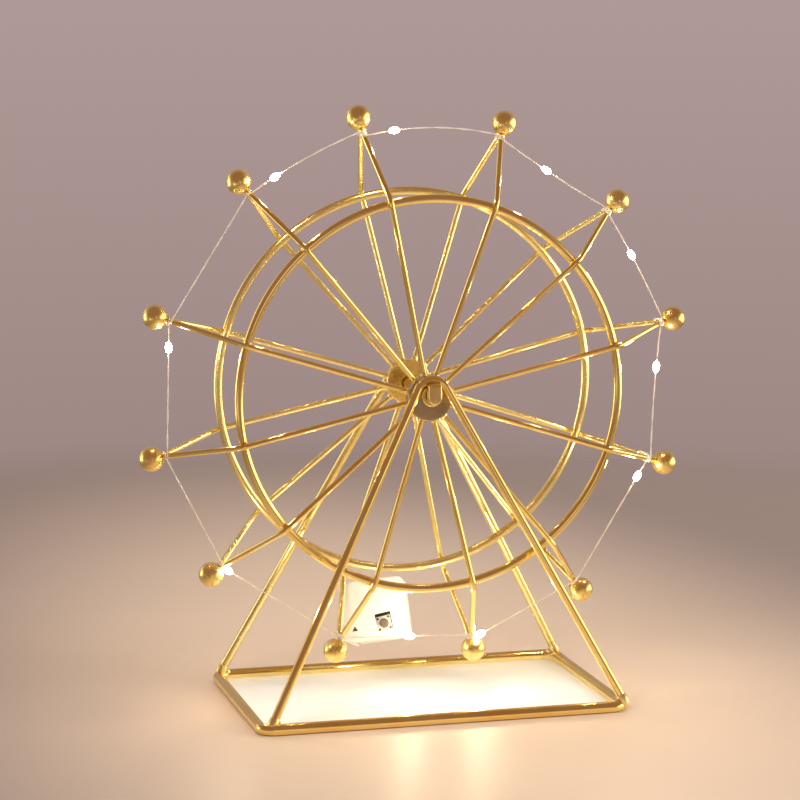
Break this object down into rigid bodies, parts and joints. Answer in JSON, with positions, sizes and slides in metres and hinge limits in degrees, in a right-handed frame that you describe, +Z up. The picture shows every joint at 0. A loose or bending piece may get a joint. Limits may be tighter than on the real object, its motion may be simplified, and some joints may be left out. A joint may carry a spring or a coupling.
{
  "type": "decorative lit wheel ornament",
  "caption": "Tabletop ornament: a turning gilt wire wheel with ball tips on two bent A-frames and a rod-rimmed base, wound with a battery light string.",
  "frame": {"origin": "centre of the bounding box's footprint, on the resting face", "axes": "+Z up, the wheel turns about Y, the front with the switch faces -Y"},
  "size_m": [0.2284, 0.094, 0.2418],
  "materials": {
    "gilt_metal": "bright gilt plating",
    "pale_plate": "gloss white",
    "white_plastic": "satin white",
    "copper_wire": "lacquered copper",
    "black_plastic": "matt black",
    "steel": "plated",
    "board_green": "solder mask"
  },
  "bodies": {
    "stand": {"base_frame": "gilt_metal", "base_plate": "pale_plate", "front_a_frame": "gilt_metal", "back_a_frame": "gilt_metal", "front_collar": "gilt_metal", "back_collar": "gilt_metal", "front_axle_tab": "gilt_metal", "back_axle_tab": "gilt_metal"},
    "wheel": {"axle": "gilt_metal", "front_hub_drum": "gilt_metal", "back_hub_drum": "gilt_metal", "front_ring": "gilt_metal", "back_ring": "gilt_metal", "front_spoke_01": "gilt_metal", "front_spoke_02": "gilt_metal", "front_spoke_03": "gilt_metal", "front_spoke_04": "gilt_metal", "front_spoke_05": "gilt_metal", "front_spoke_06": "gilt_metal", "front_spoke_07": "gilt_metal", "front_spoke_08": "gilt_metal", "front_spoke_09": "gilt_metal", "front_spoke_10": "gilt_metal", "front_spoke_11": "gilt_metal", "front_spoke_12": "gilt_metal", "back_spoke_01": "gilt_metal", "back_spoke_02": "gilt_metal", "back_spoke_03": "gilt_metal", "back_spoke_04": "gilt_metal", "back_spoke_05": "gilt_metal", "back_spoke_06": "gilt_metal", "back_spoke_07": "gilt_metal", "back_spoke_08": "gilt_metal", "back_spoke_09": "gilt_metal", "back_spoke_10": "gilt_metal", "back_spoke_11": "gilt_metal", "back_spoke_12": "gilt_metal", "ball_01": "gilt_metal", "ball_02": "gilt_metal", "ball_03": "gilt_metal", "ball_04": "gilt_metal", "ball_05": "gilt_metal", "ball_06": "gilt_metal", "ball_07": "gilt_metal", "ball_08": "gilt_metal", "ball_09": "gilt_metal", "ball_10": "gilt_metal", "ball_11": "gilt_metal", "ball_12": "gilt_metal", "light_string": "copper_wire", "battery_case": "white_plastic", "battery_cover": "white_plastic", "circuit_board": "board_green", "coin_cell": "steel", "switch_body": "steel"},
    "button": {"switch_button": "black_plastic"}
  },
  "joints": [
    {"name": "wheel_turn", "type": "hinge", "parent": "stand", "child": "wheel", "pos_m": [0, 0, 0.1277], "axis": [0, 1, 0], "continuous": true},
    {"name": "button_press", "type": "slide", "parent": "wheel", "child": "button", "axis": [0.3822, 0.8585, -0.342], "range_m": [0, 0.0005], "stiffness_N_per_m": 2000, "springref_m": -0.0001}
  ]
}
